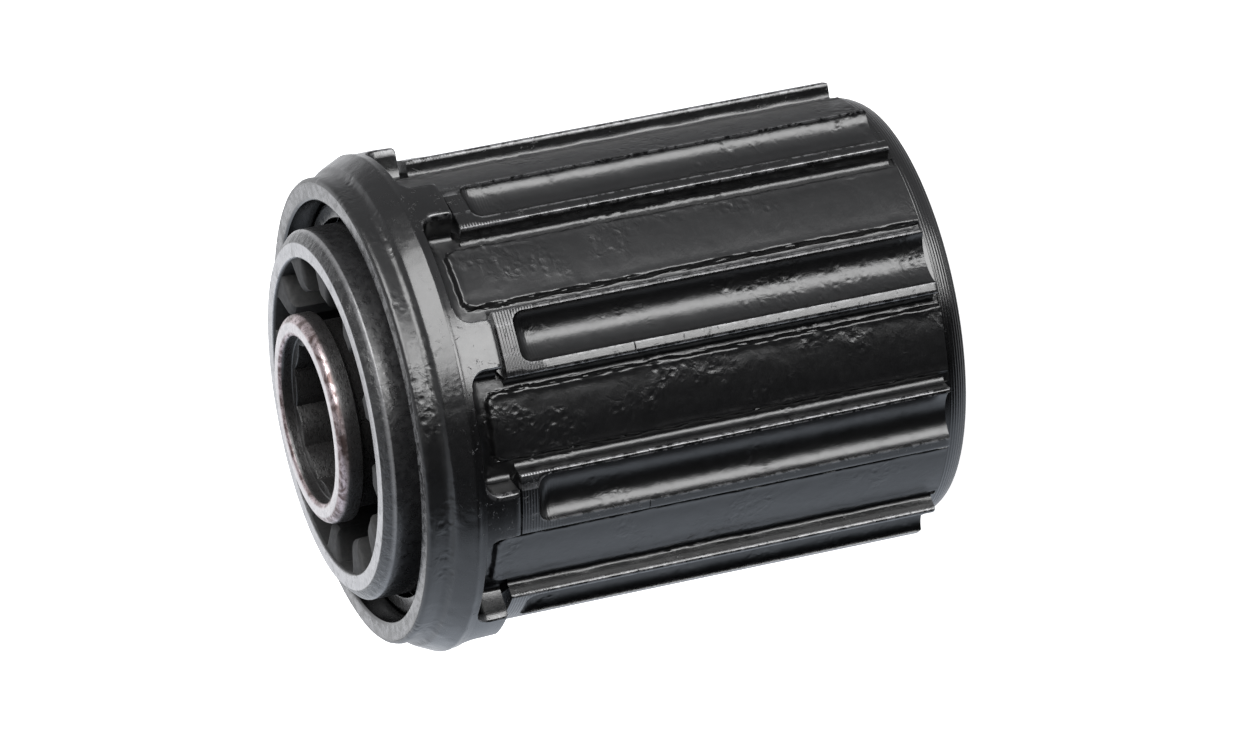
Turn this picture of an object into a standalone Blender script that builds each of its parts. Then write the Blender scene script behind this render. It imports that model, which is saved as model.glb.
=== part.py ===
"""Bicycle freehub body (cassette carrier) with its internal ratchet, bearings and hollow fixing bolt.

Units are metres and +Z is up. The hub axis is the Z axis. The outboard (lockring) end face lies on
z = 0 and the inboard end, which meets the hub shell, points up.
"""

import math

import bmesh
import bpy
from mathutils import Matrix, Vector

MM = 0.001

# Splined driver shell, outside
SHOULDER_Z = 35.75 * MM
RIDGE_START_Z = 2.0 * MM
RIDGE_R = 17.4 * MM
VALLEY_R = 16.2 * MM
COLLAR_R = 16.05 * MM
FLANGE_R = 18.45 * MM
CREST_R = 18.6 * MM
NECK_R = 17.35 * MM
RIM_Z = SHOULDER_Z + 6.7 * MM
UNDERCUT = 0.45 * MM
SPLINES = 9
SPLINE_PITCH = 360.0 / SPLINES
SPLINE_PHASE = -81.4
RIDGE_HALF = 8.17
NARROW_RIDGE_HALF = 5.5
NARROW_RIDGE = 4
POCKET_OVERCUT = 2.5
POCKET_LENGTH = 2.6 * MM
POCKET_FLOOR_R = 16.0 * MM
POCKET_CORNER = 1.2 * MM
GROOVE_OFFSET = 0.8
GROOVE_RADIUS = 2.1 * MM
GROOVE_CENTRE_R = 18.3 * MM
GROOVE_END_Z = SHOULDER_Z - 1.75 * MM
GROOVE_END_LENGTH = 1.1 * MM

# Driver shell, inside
LOCKRING_BORE_R = 14.9 * MM
BEARING_BORE_R = 15.0 * MM
SEAL_SEAT_R = 15.7 * MM
LAND_R = 13.6 * MM
RELIEF_R = 14.6 * MM
RATCHET_TEETH = 36
RATCHET_ROOT_R = 14.45 * MM
RATCHET_TIP_R = 13.6 * MM
RATCHET_Z = (20.6 * MM, 28.9 * MM)
RATCHET_PHASE = -25.0

# Bearings: two rows of 1/8 inch balls
BALL_R = 1.5875 * MM
BALL_PITCH_R = 13.1 * MM
BALLS_PER_ROW = 25
RACE_R = 1.89 * MM
OUTBOARD_BALL_Z = 9.6 * MM
INBOARD_BALL_Z = 34.55 * MM
BALL_LINK_R = 0.3 * MM

# Inner core, and the hub's axle cup
CORE_FACE_Z = SHOULDER_Z + 8.6 * MM
CORE_START_Z = 12.55 * MM
CORE_END_R = 13.8 * MM
CARRIER_R = 13.1 * MM
CONE_R = 11.21 * MM
LUGS = 12
LUG_TIP_R = 9.2 * MM
LUG_ROOT_R = 11.7 * MM
LUG_WIDTH = 12.5
LUG_PHASE = 0.0
LUG_TOP_Z = CORE_FACE_Z - 0.25 * MM
LUG_BOTTOM_Z = 38.5 * MM
AXLE_RACE_R = 3.2 * MM
AXLE_BALL_PITCH_R = 9.3 * MM
CUP_FACE_Z = 3.2 * MM
CUP_BORE_R = 9.0 * MM

# Pawls and their wire spring
PAWL_ANGLES = (0.0, 180.0)
PAWL_PIVOT_R = 11.4 * MM
PAWL_HEEL_R = 1.3 * MM
PAWL_Z = (21.6 * MM, 27.9 * MM)
POCKET_CLEARANCE = 0.35 * MM
WIRE_R = 0.25 * MM
WIRE_RING_R = 12.62 * MM
WIRE_Z = 24.75 * MM
WIRE_SLOT = 1.2 * MM

# Hollow fixing bolt
BOLT_END_Z = SHOULDER_Z + 10.0 * MM
BOLT_SHANK_R = 7.8 * MM
BOLT_BORE_R = 6.2 * MM
BOLT_RELIEF_R = 6.95 * MM
BOLT_HEAD_R = 8.5 * MM
BOLT_HEAD_Z = (18.0 * MM, 21.6 * MM)
SOCKET_LOBES = 12
SOCKET_CUSP_R = 5.85 * MM
SOCKET_LOBE_R = 5.35 * MM
SOCKET_PHASE = 18.5 - 90.0
SOCKET_Z = (30.0 * MM, BOLT_END_Z - 1.0 * MM)

FINE = 44
MEDIUM = 40
COARSE = 32

BLACK_STEEL = ("black_oxide_steel", (0.022, 0.022, 0.024), 0.38, 0.85)
GREY_STEEL = ("hardened_steel", (0.32, 0.32, 0.33), 0.32, 1.0)
BEARING_STEEL = ("bearing_steel", (0.6, 0.6, 0.61), 0.12, 1.0)
SPRING_STEEL = ("spring_steel", (0.45, 0.44, 0.42), 0.28, 1.0)
BOLT_STEEL = ("bronzed_steel", (0.20, 0.14, 0.12), 0.35, 0.9)
RUBBER = ("black_rubber", (0.02, 0.02, 0.02), 0.75, 0.0)
SHIM_STEEL = ("shim_steel", (0.5, 0.5, 0.5), 0.3, 1.0)


def clear_scene():
    for obj in list(bpy.data.objects):
        bpy.data.objects.remove(obj, do_unlink=True)


def polar(radius, degrees, z=0.0):
    angle = math.radians(degrees)
    return Vector((radius * math.cos(angle), radius * math.sin(angle), z))


def arc(cx, cy, radius, start, end, count):
    """Points on an arc in a plane, from one angle in degrees to another."""
    points = []
    for i in range(count):
        angle = math.radians(start + (end - start) * i / (count - 1))
        points.append((cx + radius * math.cos(angle), cy + radius * math.sin(angle)))
    return points


def principled(finish):
    name, colour, roughness, metallic = finish
    material = bpy.data.materials.new(name)
    material.use_nodes = True
    shader = material.node_tree.nodes["Principled BSDF"]
    shader.inputs["Base Color"].default_value = (*colour, 1.0)
    shader.inputs["Roughness"].default_value = roughness
    shader.inputs["Metallic"].default_value = metallic
    material.diffuse_color = (*colour, 1.0)
    return material


def finish_mesh(name, bm, finish=None):
    """Turns a bmesh into an object whose faces point out, shaded smooth up to its sharp edges."""
    bmesh.ops.recalc_face_normals(bm, faces=bm.faces)
    mesh = bpy.data.meshes.new(name)
    bm.to_mesh(mesh)
    bm.free()
    mesh.shade_smooth()
    mesh.set_sharp_from_angle(angle=math.radians(28))
    obj = bpy.data.objects.new(name, mesh)
    bpy.context.scene.collection.objects.link(obj)
    if finish:
        material = principled(finish)
        material.name = f"{name}_{finish[0]}"
        mesh.materials.append(material)
    return obj


def turned_mesh(profile, segments):
    """Spins a closed (radius, z) outline about the Z axis."""
    bm = bmesh.new()
    verts = [bm.verts.new((r, 0.0, z)) for r, z in profile]
    for i, vert in enumerate(verts):
        bm.edges.new((vert, verts[(i + 1) % len(verts)]))
    bmesh.ops.spin(
        bm,
        geom=list(bm.verts) + list(bm.edges),
        cent=(0, 0, 0),
        axis=(0, 0, 1),
        angle=math.tau,
        steps=segments,
        use_merge=True,
    )
    bmesh.ops.remove_doubles(bm, verts=list(bm.verts), dist=1e-7)
    return bm


def turned(name, profile, finish, segments=FINE):
    return finish_mesh(name, turned_mesh(profile, segments), finish)


def loft(bm, sections, closed=False):
    """Bridges equal-length loops of points into one closed body in the bmesh."""
    loops = [[bm.verts.new(point) for point in section] for section in sections]
    count = len(loops[0])
    pairs = list(zip(loops, loops[1:]))
    if closed:
        pairs.append((loops[-1], loops[0]))
    for low, high in pairs:
        for i in range(count):
            j = (i + 1) % count
            bm.faces.new((low[i], low[j], high[j], high[i]))
    if not closed:
        bm.faces.new(list(reversed(loops[0])))
        bm.faces.new(loops[-1])


def prism(bm, outline, z0, z1):
    loft(bm, [[Vector((x, y, z0)) for x, y in outline], [Vector((x, y, z1)) for x, y in outline]])


def ring_sector(bm, inner_r, outer_r, columns):
    """A block between two radii. Each column is (angle, low z, high z)."""
    sections = []
    for angle, low, high in columns:
        corners = ((inner_r, low), (outer_r, low), (outer_r, high), (inner_r, high))
        sections.append([polar(r, angle, z) for r, z in corners])
    loft(bm, sections)


def cut(target, bm, name):
    """Subtracts a helper body from the target with an exact Boolean."""
    tool = finish_mesh(name, bm)
    tool.hide_render = True
    tool.display_type = "WIRE"
    modifier = target.modifiers.new(name, "BOOLEAN")
    modifier.operation = "DIFFERENCE"
    modifier.solver = "EXACT"
    modifier.object = tool
    return tool


def ridge_half(index):
    return NARROW_RIDGE_HALF if index % SPLINES == NARROW_RIDGE else RIDGE_HALF


def valley_span(index):
    """Start and end angles of the valley that follows ridge number index."""
    start = SPLINE_PHASE + SPLINE_PITCH * index + ridge_half(index)
    end = SPLINE_PHASE + SPLINE_PITCH * (index + 1) - ridge_half(index + 1)
    return start, end


def shell_profile():
    s = SHOULDER_Z
    outside = [
        (15.5 * MM, 0.0),
        (15.85 * MM, 0.3 * MM),
        (COLLAR_R, 0.9 * MM),
        (COLLAR_R, RIDGE_START_Z),
        (RIDGE_R - 0.12 * MM, RIDGE_START_Z),
        (RIDGE_R, RIDGE_START_Z + 0.12 * MM),
        (RIDGE_R, s - UNDERCUT),
        (RIDGE_R - 0.5 * MM, s - UNDERCUT + 0.05 * MM),
        (RIDGE_R - 0.5 * MM, s + 0.1 * MM),
        (RIDGE_R + 0.08 * MM, s + 0.1 * MM),
        (RIDGE_R + 0.1 * MM, s),
        (FLANGE_R - 0.2 * MM, s),
        (FLANGE_R, s + 0.25 * MM),
        (FLANGE_R, s + 2.4 * MM),
        (CREST_R, s + 3.1 * MM),
        (CREST_R - 0.05 * MM, s + 3.35 * MM),
        (NECK_R + 0.55 * MM, s + 4.75 * MM),
        (NECK_R, s + 5.2 * MM),
        (NECK_R, RIM_Z - 0.2 * MM),
        (NECK_R - 0.15 * MM, RIM_Z),
    ]
    inside = [
        (SEAL_SEAT_R + 0.1 * MM, RIM_Z),
        (SEAL_SEAT_R, RIM_Z - 0.2 * MM),
        (SEAL_SEAT_R, s + 3.6 * MM),
        (BEARING_BORE_R, s + 3.3 * MM),
    ]
    inside += race_arc(INBOARD_BALL_Z, 0, -60)
    inside += [(LAND_R, INBOARD_BALL_Z - 1.75 * MM), (LAND_R, 29.4 * MM)]
    inside += [(RELIEF_R, 29.3 * MM), (RELIEF_R, 28.5 * MM)]
    inside += [(LAND_R - 0.3 * MM, 28.4 * MM), (LAND_R - 0.3 * MM, 21.1 * MM)]
    inside += [(RELIEF_R, 21.0 * MM), (RELIEF_R, 14.0 * MM)]
    inside += [(LAND_R, 13.4 * MM), (LAND_R, OUTBOARD_BALL_Z + 1.75 * MM)]
    inside += race_arc(OUTBOARD_BALL_Z, 60, 0)
    inside += [
        (BEARING_BORE_R, 8.0 * MM),
        (LOCKRING_BORE_R, 7.8 * MM),
        (LOCKRING_BORE_R, 0.25 * MM),
        (LOCKRING_BORE_R + 0.2 * MM, 0.0),
    ]
    return outside + inside


def race_arc(ball_z, start, end):
    return arc(BALL_PITCH_R, ball_z, RACE_R, start, end, 4)


def valley_cutter():
    bm = bmesh.new()
    for index in range(SPLINES):
        start, end = valley_span(index)
        steps = 4
        angles = [start + (end - start) * i / steps for i in range(steps + 1)]
        low, high = RIDGE_START_Z - 0.6 * MM, SHOULDER_Z + 1.3 * MM
        ring_sector(bm, VALLEY_R, 20 * MM, [(a, low, high) for a in angles])
    return bm


def pocket_cutter():
    """The valleys' milled ends, which run on into the flange with round corners."""
    bm = bmesh.new()
    fractions = (0.0, 0.02, 0.06, 0.12, 0.25, 0.5, 0.75, 0.88, 0.94, 0.98, 1.0)
    for index in range(SPLINES):
        start, end = valley_span(index)
        start -= POCKET_OVERCUT
        end += POCKET_OVERCUT
        columns = []
        for f in fractions:
            angle = start + (end - start) * f
            edge = math.radians(min(angle - start, end - angle)) * RIDGE_R
            short = max(POCKET_CORNER - edge, 0.0)
            drop = POCKET_CORNER - math.sqrt(POCKET_CORNER**2 - short**2)
            columns.append((angle, SHOULDER_Z - UNDERCUT, SHOULDER_Z + POCKET_LENGTH - drop))
        ring_sector(bm, POCKET_FLOOR_R, 20 * MM, columns)
    return bm


def groove_cutter():
    """The round-bottomed relief groove along every full-width ridge, with a domed inboard end."""
    bm = bmesh.new()
    for index in range(SPLINES):
        if index == NARROW_RIDGE:
            continue
        angle = SPLINE_PHASE + SPLINE_PITCH * index + GROOVE_OFFSET
        centre = polar(GROOVE_CENTRE_R, angle)
        stations = [(0.5 * MM, 1.0)]
        for t in (0.0, 0.55, 0.87):
            z = GROOVE_END_Z - GROOVE_END_LENGTH * (1 - t)
            stations.append((z, math.sqrt(1 - t * t)))
        stations.append((GROOVE_END_Z, 0.06))
        sections = []
        for z, scale in stations:
            circle = arc(centre.x, centre.y, GROOVE_RADIUS * scale, angle + 9, angle + 351, 20)
            sections.append([Vector((x, y, z)) for x, y in circle])
        loft(bm, sections)
    return bm


def ratchet_cutter():
    """Saw teeth: each notch starts with a radial driving face and ramps back to the tooth tip."""
    bm = bmesh.new()
    pitch = 360.0 / RATCHET_TEETH
    outline = []
    for tooth in range(RATCHET_TEETH):
        start = RATCHET_PHASE + pitch * tooth
        for radius, offset in ((RATCHET_ROOT_R, 0.15), (RATCHET_TIP_R, pitch - 0.15)):
            point = polar(radius, start + offset)
            outline.append((point.x, point.y))
    prism(bm, outline, *RATCHET_Z)
    return bm


def make_driver_shell():
    shell = turned("driver_shell", shell_profile(), BLACK_STEEL)
    cut(shell, valley_cutter(), "valley_cutter")
    cut(shell, pocket_cutter(), "pocket_cutter")
    cut(shell, groove_cutter(), "groove_cutter")
    cut(shell, ratchet_cutter(), "ratchet_cutter")
    return shell


def make_ball_row(name, z):
    """A full row of balls, each joined to the next by a thin link where the two would touch."""
    bm = bmesh.new()
    pitch = math.tau / BALLS_PER_ROW
    half = pitch / 2 * BALL_PITCH_R
    sections = []
    for ball in range(BALLS_PER_ROW):
        for step in (-52, 0, 52):
            along = BALL_R * math.sin(math.radians(step)) * half / BALL_R * 0.995
            radius = BALL_R * math.cos(math.radians(step))
            angle = ball * pitch + along / BALL_PITCH_R
            sections.append((angle, radius))
        sections.append(((ball + 0.5) * pitch, BALL_LINK_R))
    loops = []
    for angle, radius in sections:
        loop = []
        for x, y in arc(0, 0, radius, 30, 330, 6):
            loop.append(polar(BALL_PITCH_R + x, math.degrees(angle), z + y))
        loops.append(loop)
    loft(bm, loops, closed=True)
    return finish_mesh(name, bm, BEARING_STEEL)


def core_profile():
    race = arc(BALL_PITCH_R, INBOARD_BALL_Z, RACE_R, 120, 180, 4)
    outside = [
        (CORE_END_R - 0.8 * MM, CORE_FACE_Z),
        (CORE_END_R, CORE_FACE_Z - 0.75 * MM),
        (CORE_END_R, 36.7 * MM),
        (13.2 * MM, 36.4 * MM),
    ]
    outside += race
    outside += [
        (CONE_R, 32.7 * MM),
        (CARRIER_R, 31.6 * MM),
        (CARRIER_R, 13.9 * MM),
        (12.3 * MM, 13.4 * MM),
        (12.3 * MM, CORE_START_Z),
    ]
    inside = [
        (10.7 * MM, CORE_START_Z),
        (10.6 * MM, 17.1 * MM),
        (8.9 * MM, 17.1 * MM),
        (8.9 * MM, 22.7 * MM),
        (8.1 * MM, 22.7 * MM),
        (8.1 * MM, 33.0 * MM),
        (LUG_TIP_R, 33.4 * MM),
        (LUG_TIP_R, LUG_TOP_Z - 0.3 * MM),
        (LUG_TIP_R + 0.4 * MM, LUG_TOP_Z),
        (11.75 * MM, LUG_TOP_Z + 0.05 * MM),
        (11.85 * MM, CORE_FACE_Z),
    ]
    return outside + inside


def lug_cutter():
    bm = bmesh.new()
    pitch = 360.0 / LUGS
    for lug in range(LUGS):
        start = LUG_PHASE + pitch * lug + LUG_WIDTH / 2
        end = start + pitch - LUG_WIDTH
        angles = [start + (end - start) * i / 3 for i in range(4)]
        top = LUG_TOP_Z + 0.5 * MM
        ring_sector(bm, 8.6 * MM, LUG_ROOT_R, [(a, LUG_BOTTOM_Z, top) for a in angles])
    return bm


def pawl_pocket_outline():
    """The pocket in the carrier, with the pawl's pivot on the X axis."""
    heel = PAWL_HEEL_R + POCKET_CLEARANCE
    outline = [(13.9 * MM, 1.2 * MM)]
    outline += arc(PAWL_PIVOT_R, 0.0, heel, 45, 248, 9)
    for radius, degrees in ((11.25, -17.0), (11.2, -27.5), (11.2, -29.8), (13.9, -29.8)):
        point = polar(radius * MM, degrees)
        outline.append((point.x, point.y))
    outline.append((14.6 * MM, -3.0 * MM))
    return outline


def pawl_outline():
    """A pawl about its own pivot at the origin, with the hub axis at x = -PAWL_PIVOT_R."""
    outline = arc(0.0, 0.0, PAWL_HEEL_R, 40, 236, 9)
    for radius, degrees in ((11.65, -16.5), (11.65, -26.2), (12.9, -26.6)):
        point = polar(radius * MM, degrees)
        outline.append((point.x - PAWL_PIVOT_R, point.y))
    back = ((13.05, -25.0), (12.86, -19.0), (12.8, -13.0), (12.88, -8.0), (12.95, -4.0))
    for radius, degrees in back:
        point = polar(radius * MM, degrees)
        outline.append((point.x - PAWL_PIVOT_R, point.y))
    return outline


def pawl_pocket_cutter():
    bm = bmesh.new()
    for angle in PAWL_ANGLES:
        turn = Matrix.Rotation(math.radians(angle), 4, "Z")
        outline = []
        for x, y in pawl_pocket_outline():
            point = turn @ Vector((x, y, 0.0))
            outline.append((point.x, point.y))
        prism(bm, outline, PAWL_Z[0] - 0.3 * MM, PAWL_Z[1] + 0.3 * MM)
    return bm


def wire_groove_cutter(depth_r):
    low, high = WIRE_Z - WIRE_SLOT / 2, WIRE_Z + WIRE_SLOT / 2
    outline = [(depth_r, high), (depth_r, low), (14.5 * MM, low), (14.5 * MM, high)]
    return turned_mesh(outline, MEDIUM)


def make_inner_core():
    core = turned("inner_core", core_profile(), BLACK_STEEL, MEDIUM)
    cut(core, lug_cutter(), "lug_cutter")
    cut(core, pawl_pocket_cutter(), "pawl_pocket_cutter")
    cut(core, wire_groove_cutter(12.1 * MM), "wire_groove_cutter")
    return core


def make_pawls():
    """Two pawls that share one mesh. Each one's origin is on its pivot."""
    bm = bmesh.new()
    prism(bm, pawl_outline(), *PAWL_Z)
    first = finish_mesh("pawl_1", bm, GREY_STEEL)
    slot = cut(first, wire_groove_cutter(12.1 * MM), "pawl_slot_cutter_1")
    first.location = polar(PAWL_PIVOT_R, PAWL_ANGLES[0])
    second = bpy.data.objects.new("pawl_2", first.data)
    bpy.context.scene.collection.objects.link(second)
    second.location = polar(PAWL_PIVOT_R, PAWL_ANGLES[1])
    second.rotation_euler = (0.0, 0.0, math.radians(PAWL_ANGLES[1]))
    modifier = second.modifiers.new("pawl_slot_cutter_1", "BOOLEAN")
    modifier.operation = "DIFFERENCE"
    modifier.solver = "EXACT"
    modifier.object = slot


def make_pawl_spring():
    """An open wire ring that lies in the carrier's groove and over both pawls."""
    bm = bmesh.new()
    gap = 16.0
    start = 90.0 + gap / 2
    sections = []
    for step in range(41):
        angle = start + (360.0 - gap) * step / 40
        section = []
        for x, y in arc(0.0, 0.0, WIRE_R, 0, 288, 5):
            section.append(polar(WIRE_RING_R + x, angle, WIRE_Z + y))
        sections.append(section)
    loft(bm, sections)
    return finish_mesh("pawl_spring", bm, SPRING_STEEL)


def cup_profile():
    """Inside is the race for the hub axle's balls, outside is the cone for the outboard row."""
    cone = arc(BALL_PITCH_R, OUTBOARD_BALL_Z, RACE_R, 240, 180, 4)
    axle_race = arc(AXLE_BALL_PITCH_R, CUP_FACE_Z + 1.2 * MM, AXLE_RACE_R, 84, 0, 5)
    outside = [
        (13.5 * MM, CUP_FACE_Z),
        (13.7 * MM, CUP_FACE_Z + 0.2 * MM),
        (13.7 * MM, 7.3 * MM),
        (12.7 * MM, 7.6 * MM),
    ]
    outside += cone
    outside += [
        (CONE_R, 10.6 * MM),
        (10.3 * MM, 10.6 * MM),
        (10.3 * MM, 16.6 * MM),
        (10.1 * MM, 16.8 * MM),
    ]
    inside = [(CUP_BORE_R, 16.8 * MM), (CUP_BORE_R, 7.9 * MM)]
    return outside + inside + axle_race + [(12.5 * MM, CUP_FACE_Z)]


def make_bearing_cup():
    cup = turned("bearing_cup", cup_profile(), GREY_STEEL, COARSE)
    bm = bmesh.new()
    for side in (1, -1):
        x0, x1 = sorted((side * 11.5 * MM, side * 14.5 * MM))
        outline = [(x0, -1.6 * MM), (x1, -1.6 * MM), (x1, 1.6 * MM), (x0, 1.6 * MM)]
        prism(bm, outline, CUP_FACE_Z - 1 * MM, CUP_FACE_Z + 1.1 * MM)
    cut(cup, bm, "tool_notch_cutter")
    return cup


def make_washer(name, inner_r, outer_r, z0, z1, finish):
    profile = [(inner_r, z1), (outer_r, z1), (outer_r, z0), (inner_r, z0)]
    return turned(name, profile, finish, COARSE)


def make_shims():
    z = 10.85 * MM
    for number, thickness in enumerate((0.25 * MM, 0.25 * MM, 0.3 * MM), start=1):
        make_washer(f"shim_{number}", 10.6 * MM, 11.9 * MM, z, z + thickness, SHIM_STEEL)
        z += thickness + 0.27 * MM


def make_seals():
    s = SHOULDER_Z
    inboard = [
        (14.15 * MM, s + 5.1 * MM),
        (15.2 * MM, s + 4.9 * MM),
        (15.55 * MM, s + 4.7 * MM),
        (15.55 * MM, s + 3.8 * MM),
        (14.9 * MM, s + 3.7 * MM),
        (14.7 * MM, s + 4.3 * MM),
        (14.15 * MM, s + 4.5 * MM),
    ]
    turned("inboard_seal", inboard, RUBBER, COARSE)
    outboard = [
        (14.0 * MM, 6.9 * MM),
        (14.6 * MM, 6.8 * MM),
        (14.6 * MM, 6.3 * MM),
        (14.3 * MM, 5.2 * MM),
        (14.0 * MM, 5.2 * MM),
    ]
    turned("outboard_seal", outboard, RUBBER, COARSE)


def make_dust_cap():
    profile = [
        (9.4 * MM, 2.3 * MM),
        (9.6 * MM, 1.9 * MM),
        (13.0 * MM, 1.9 * MM),
        (13.4 * MM, 2.2 * MM),
        (13.4 * MM, 2.85 * MM),
        (12.2 * MM, 2.85 * MM),
        (12.2 * MM, 4.0 * MM),
        (11.7 * MM, 4.0 * MM),
        (11.7 * MM, 2.7 * MM),
        (9.4 * MM, 2.7 * MM),
    ]
    return turned("outboard_dust_cap", profile, BLACK_STEEL, COARSE)


def socket_cutter():
    """Twelve ribs bulge inwards between sharp cusps."""
    bm = bmesh.new()
    pitch = 360.0 / SOCKET_LOBES
    outline = []
    for lobe in range(SOCKET_LOBES):
        for step, blend in ((0.0, 0.0), (0.2, 0.64), (0.5, 1.0), (0.8, 0.64)):
            radius = SOCKET_CUSP_R + (SOCKET_LOBE_R - SOCKET_CUSP_R) * blend
            point = polar(radius, SOCKET_PHASE + pitch * (lobe + step))
            outline.append((point.x, point.y))
    prism(bm, outline, SOCKET_Z[0] - 0.5 * MM, SOCKET_Z[1] + 0.5 * MM)
    return bm


def make_fixing_bolt():
    end = BOLT_END_Z
    outside = [
        (BOLT_SHANK_R - 0.85 * MM, end),
        (BOLT_SHANK_R - 0.4 * MM, end - 0.12 * MM),
        (BOLT_SHANK_R - 0.1 * MM, end - 0.4 * MM),
        (BOLT_SHANK_R, end - 0.85 * MM),
        (BOLT_SHANK_R, end - 1.35 * MM),
        (BOLT_RELIEF_R, end - 1.7 * MM),
        (BOLT_RELIEF_R, 34.0 * MM),
        (BOLT_SHANK_R, 33.4 * MM),
        (BOLT_SHANK_R, BOLT_HEAD_Z[1]),
        (BOLT_HEAD_R, BOLT_HEAD_Z[1]),
        (BOLT_HEAD_R, BOLT_HEAD_Z[0] + 0.4 * MM),
        (BOLT_HEAD_R - 0.4 * MM, BOLT_HEAD_Z[0]),
    ]
    inside = [
        (6.1 * MM, BOLT_HEAD_Z[0]),
        (6.1 * MM, SOCKET_Z[0]),
        (5.2 * MM, SOCKET_Z[0] + 0.3 * MM),
        (5.2 * MM, SOCKET_Z[1] - 0.1 * MM),
        (BOLT_BORE_R, SOCKET_Z[1]),
        (BOLT_BORE_R, end - 0.25 * MM),
        (BOLT_BORE_R + 0.2 * MM, end),
    ]
    bolt = turned("fixing_bolt", outside + inside, BOLT_STEEL, COARSE)
    cut(bolt, socket_cutter(), "socket_cutter")
    return bolt


def main():
    clear_scene()
    make_driver_shell()
    make_inner_core()
    make_ball_row("outboard_balls", OUTBOARD_BALL_Z)
    make_ball_row("inboard_balls", INBOARD_BALL_Z)
    make_bearing_cup()
    make_shims()
    make_pawls()
    make_pawl_spring()
    make_seals()
    make_dust_cap()
    make_fixing_bolt()
    make_washer("bolt_washer", 8.05 * MM, 8.6 * MM, 21.9 * MM, 22.4 * MM, GREY_STEEL)


main()
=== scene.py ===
"""Detailed visual model of a bicycle freehub body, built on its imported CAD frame.

Lengths are in millimetres until a mesh is made. The hub axis is Z, and the outboard end is at z = 0.
"""

import math

import bmesh
import bpy
import numpy as np
from mathutils import Matrix, Vector


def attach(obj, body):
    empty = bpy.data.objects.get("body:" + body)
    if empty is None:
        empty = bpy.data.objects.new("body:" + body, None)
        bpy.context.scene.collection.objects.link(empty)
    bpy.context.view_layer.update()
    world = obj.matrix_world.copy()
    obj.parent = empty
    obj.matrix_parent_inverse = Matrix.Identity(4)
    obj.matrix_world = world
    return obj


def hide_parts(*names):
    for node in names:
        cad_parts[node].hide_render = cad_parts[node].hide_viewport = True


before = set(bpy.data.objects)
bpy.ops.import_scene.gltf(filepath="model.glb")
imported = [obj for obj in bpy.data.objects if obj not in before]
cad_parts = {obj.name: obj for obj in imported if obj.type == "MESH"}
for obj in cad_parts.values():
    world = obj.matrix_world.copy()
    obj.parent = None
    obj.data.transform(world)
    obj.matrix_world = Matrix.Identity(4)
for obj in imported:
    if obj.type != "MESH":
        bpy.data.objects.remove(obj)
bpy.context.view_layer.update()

MM = 0.001

# splines, with angles in degrees and heights measured from the stop shoulder
SHOULDER = 35.75
SPLINES = 9
PITCH = 360.0 / SPLINES
PHASE = -81.4
RIDGE_HALF = 8.17
NARROW_HALF = 5.5
NARROW = 4
OVERCUT = 2.5
RIDGE_R = 17.4
RIDGE_END = -33.77
UNDERCUT = 0.45
POCKET = 2.6
RIM = 42.45

# bearings, clutch and core, with heights measured from the outboard end
BALLS = 25
BALL_R = 1.5875
BALL_PITCH_R = 13.1
RACE_R = 1.89
OUTBOARD_BALLS_Z = 9.6
INBOARD_BALLS_Z = 34.55
PAWL_Z = 24.75
RATCHET_ROOT_R = 14.45
RATCHET_DEPTH = 0.85
CORE_R = 13.8
CORE_FACE = 44.35
LUG_TIP_R = 9.2
LUG_ROOT_R = 11.7
BOLT_END = 45.75
BOLT_R = 7.8
BOLT_NECK_R = 6.95


# ---------------------------------------------------------------- helpers


def lumps(points, size, seed=0):
    """A smooth random value between -1 and 1 at each point, with features about size across."""
    q = np.asarray(points, dtype=float) / size + seed * 17.31
    cell = np.floor(q).astype(np.int64)
    f = q - cell
    f = f * f * (3.0 - 2.0 * f)
    total = np.zeros(q.shape[:-1])
    for corner in range(8):
        step = (corner & 1, (corner >> 1) & 1, (corner >> 2) & 1)
        h = np.zeros(q.shape[:-1], dtype=np.int64)
        w = np.ones(q.shape[:-1])
        for axis, prime in enumerate((73856093, 19349663, 83492791)):
            h ^= (cell[..., axis] + step[axis]) * prime
            w = w * (f[..., axis] if step[axis] else 1.0 - f[..., axis])
        h = (h ^ (h >> 13)) * 1274126177 & 0xFFFFFFFF
        h = (h ^ (h >> 16)) & 0xFFFF
        total += w * (h / 32767.5 - 1.0)
    return total


def smooth(t):
    t = np.clip(t, 0.0, 1.0)
    return t * t * (3.0 - 2.0 * t)


def polar_points(radius, degrees, z):
    a = np.radians(degrees)
    return np.stack([radius * np.cos(a), radius * np.sin(a), z + 0.0 * radius], axis=-1)


def grid_mesh(points, close_rows=False):
    """Vertices and faces of a grid of points whose columns run right round."""
    rows, cols = points.shape[:2]
    index = np.arange(rows * cols).reshape(rows, cols)
    low = index if close_rows else index[:-1]
    high = np.roll(index, -1, axis=0) if close_rows else index[1:]
    a, b = low, np.roll(low, -1, axis=1)
    c, d = np.roll(high, -1, axis=1), high
    faces = np.stack([a, b, c, d], axis=-1).reshape(-1, 4)
    return points.reshape(-1, 3), faces


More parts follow.
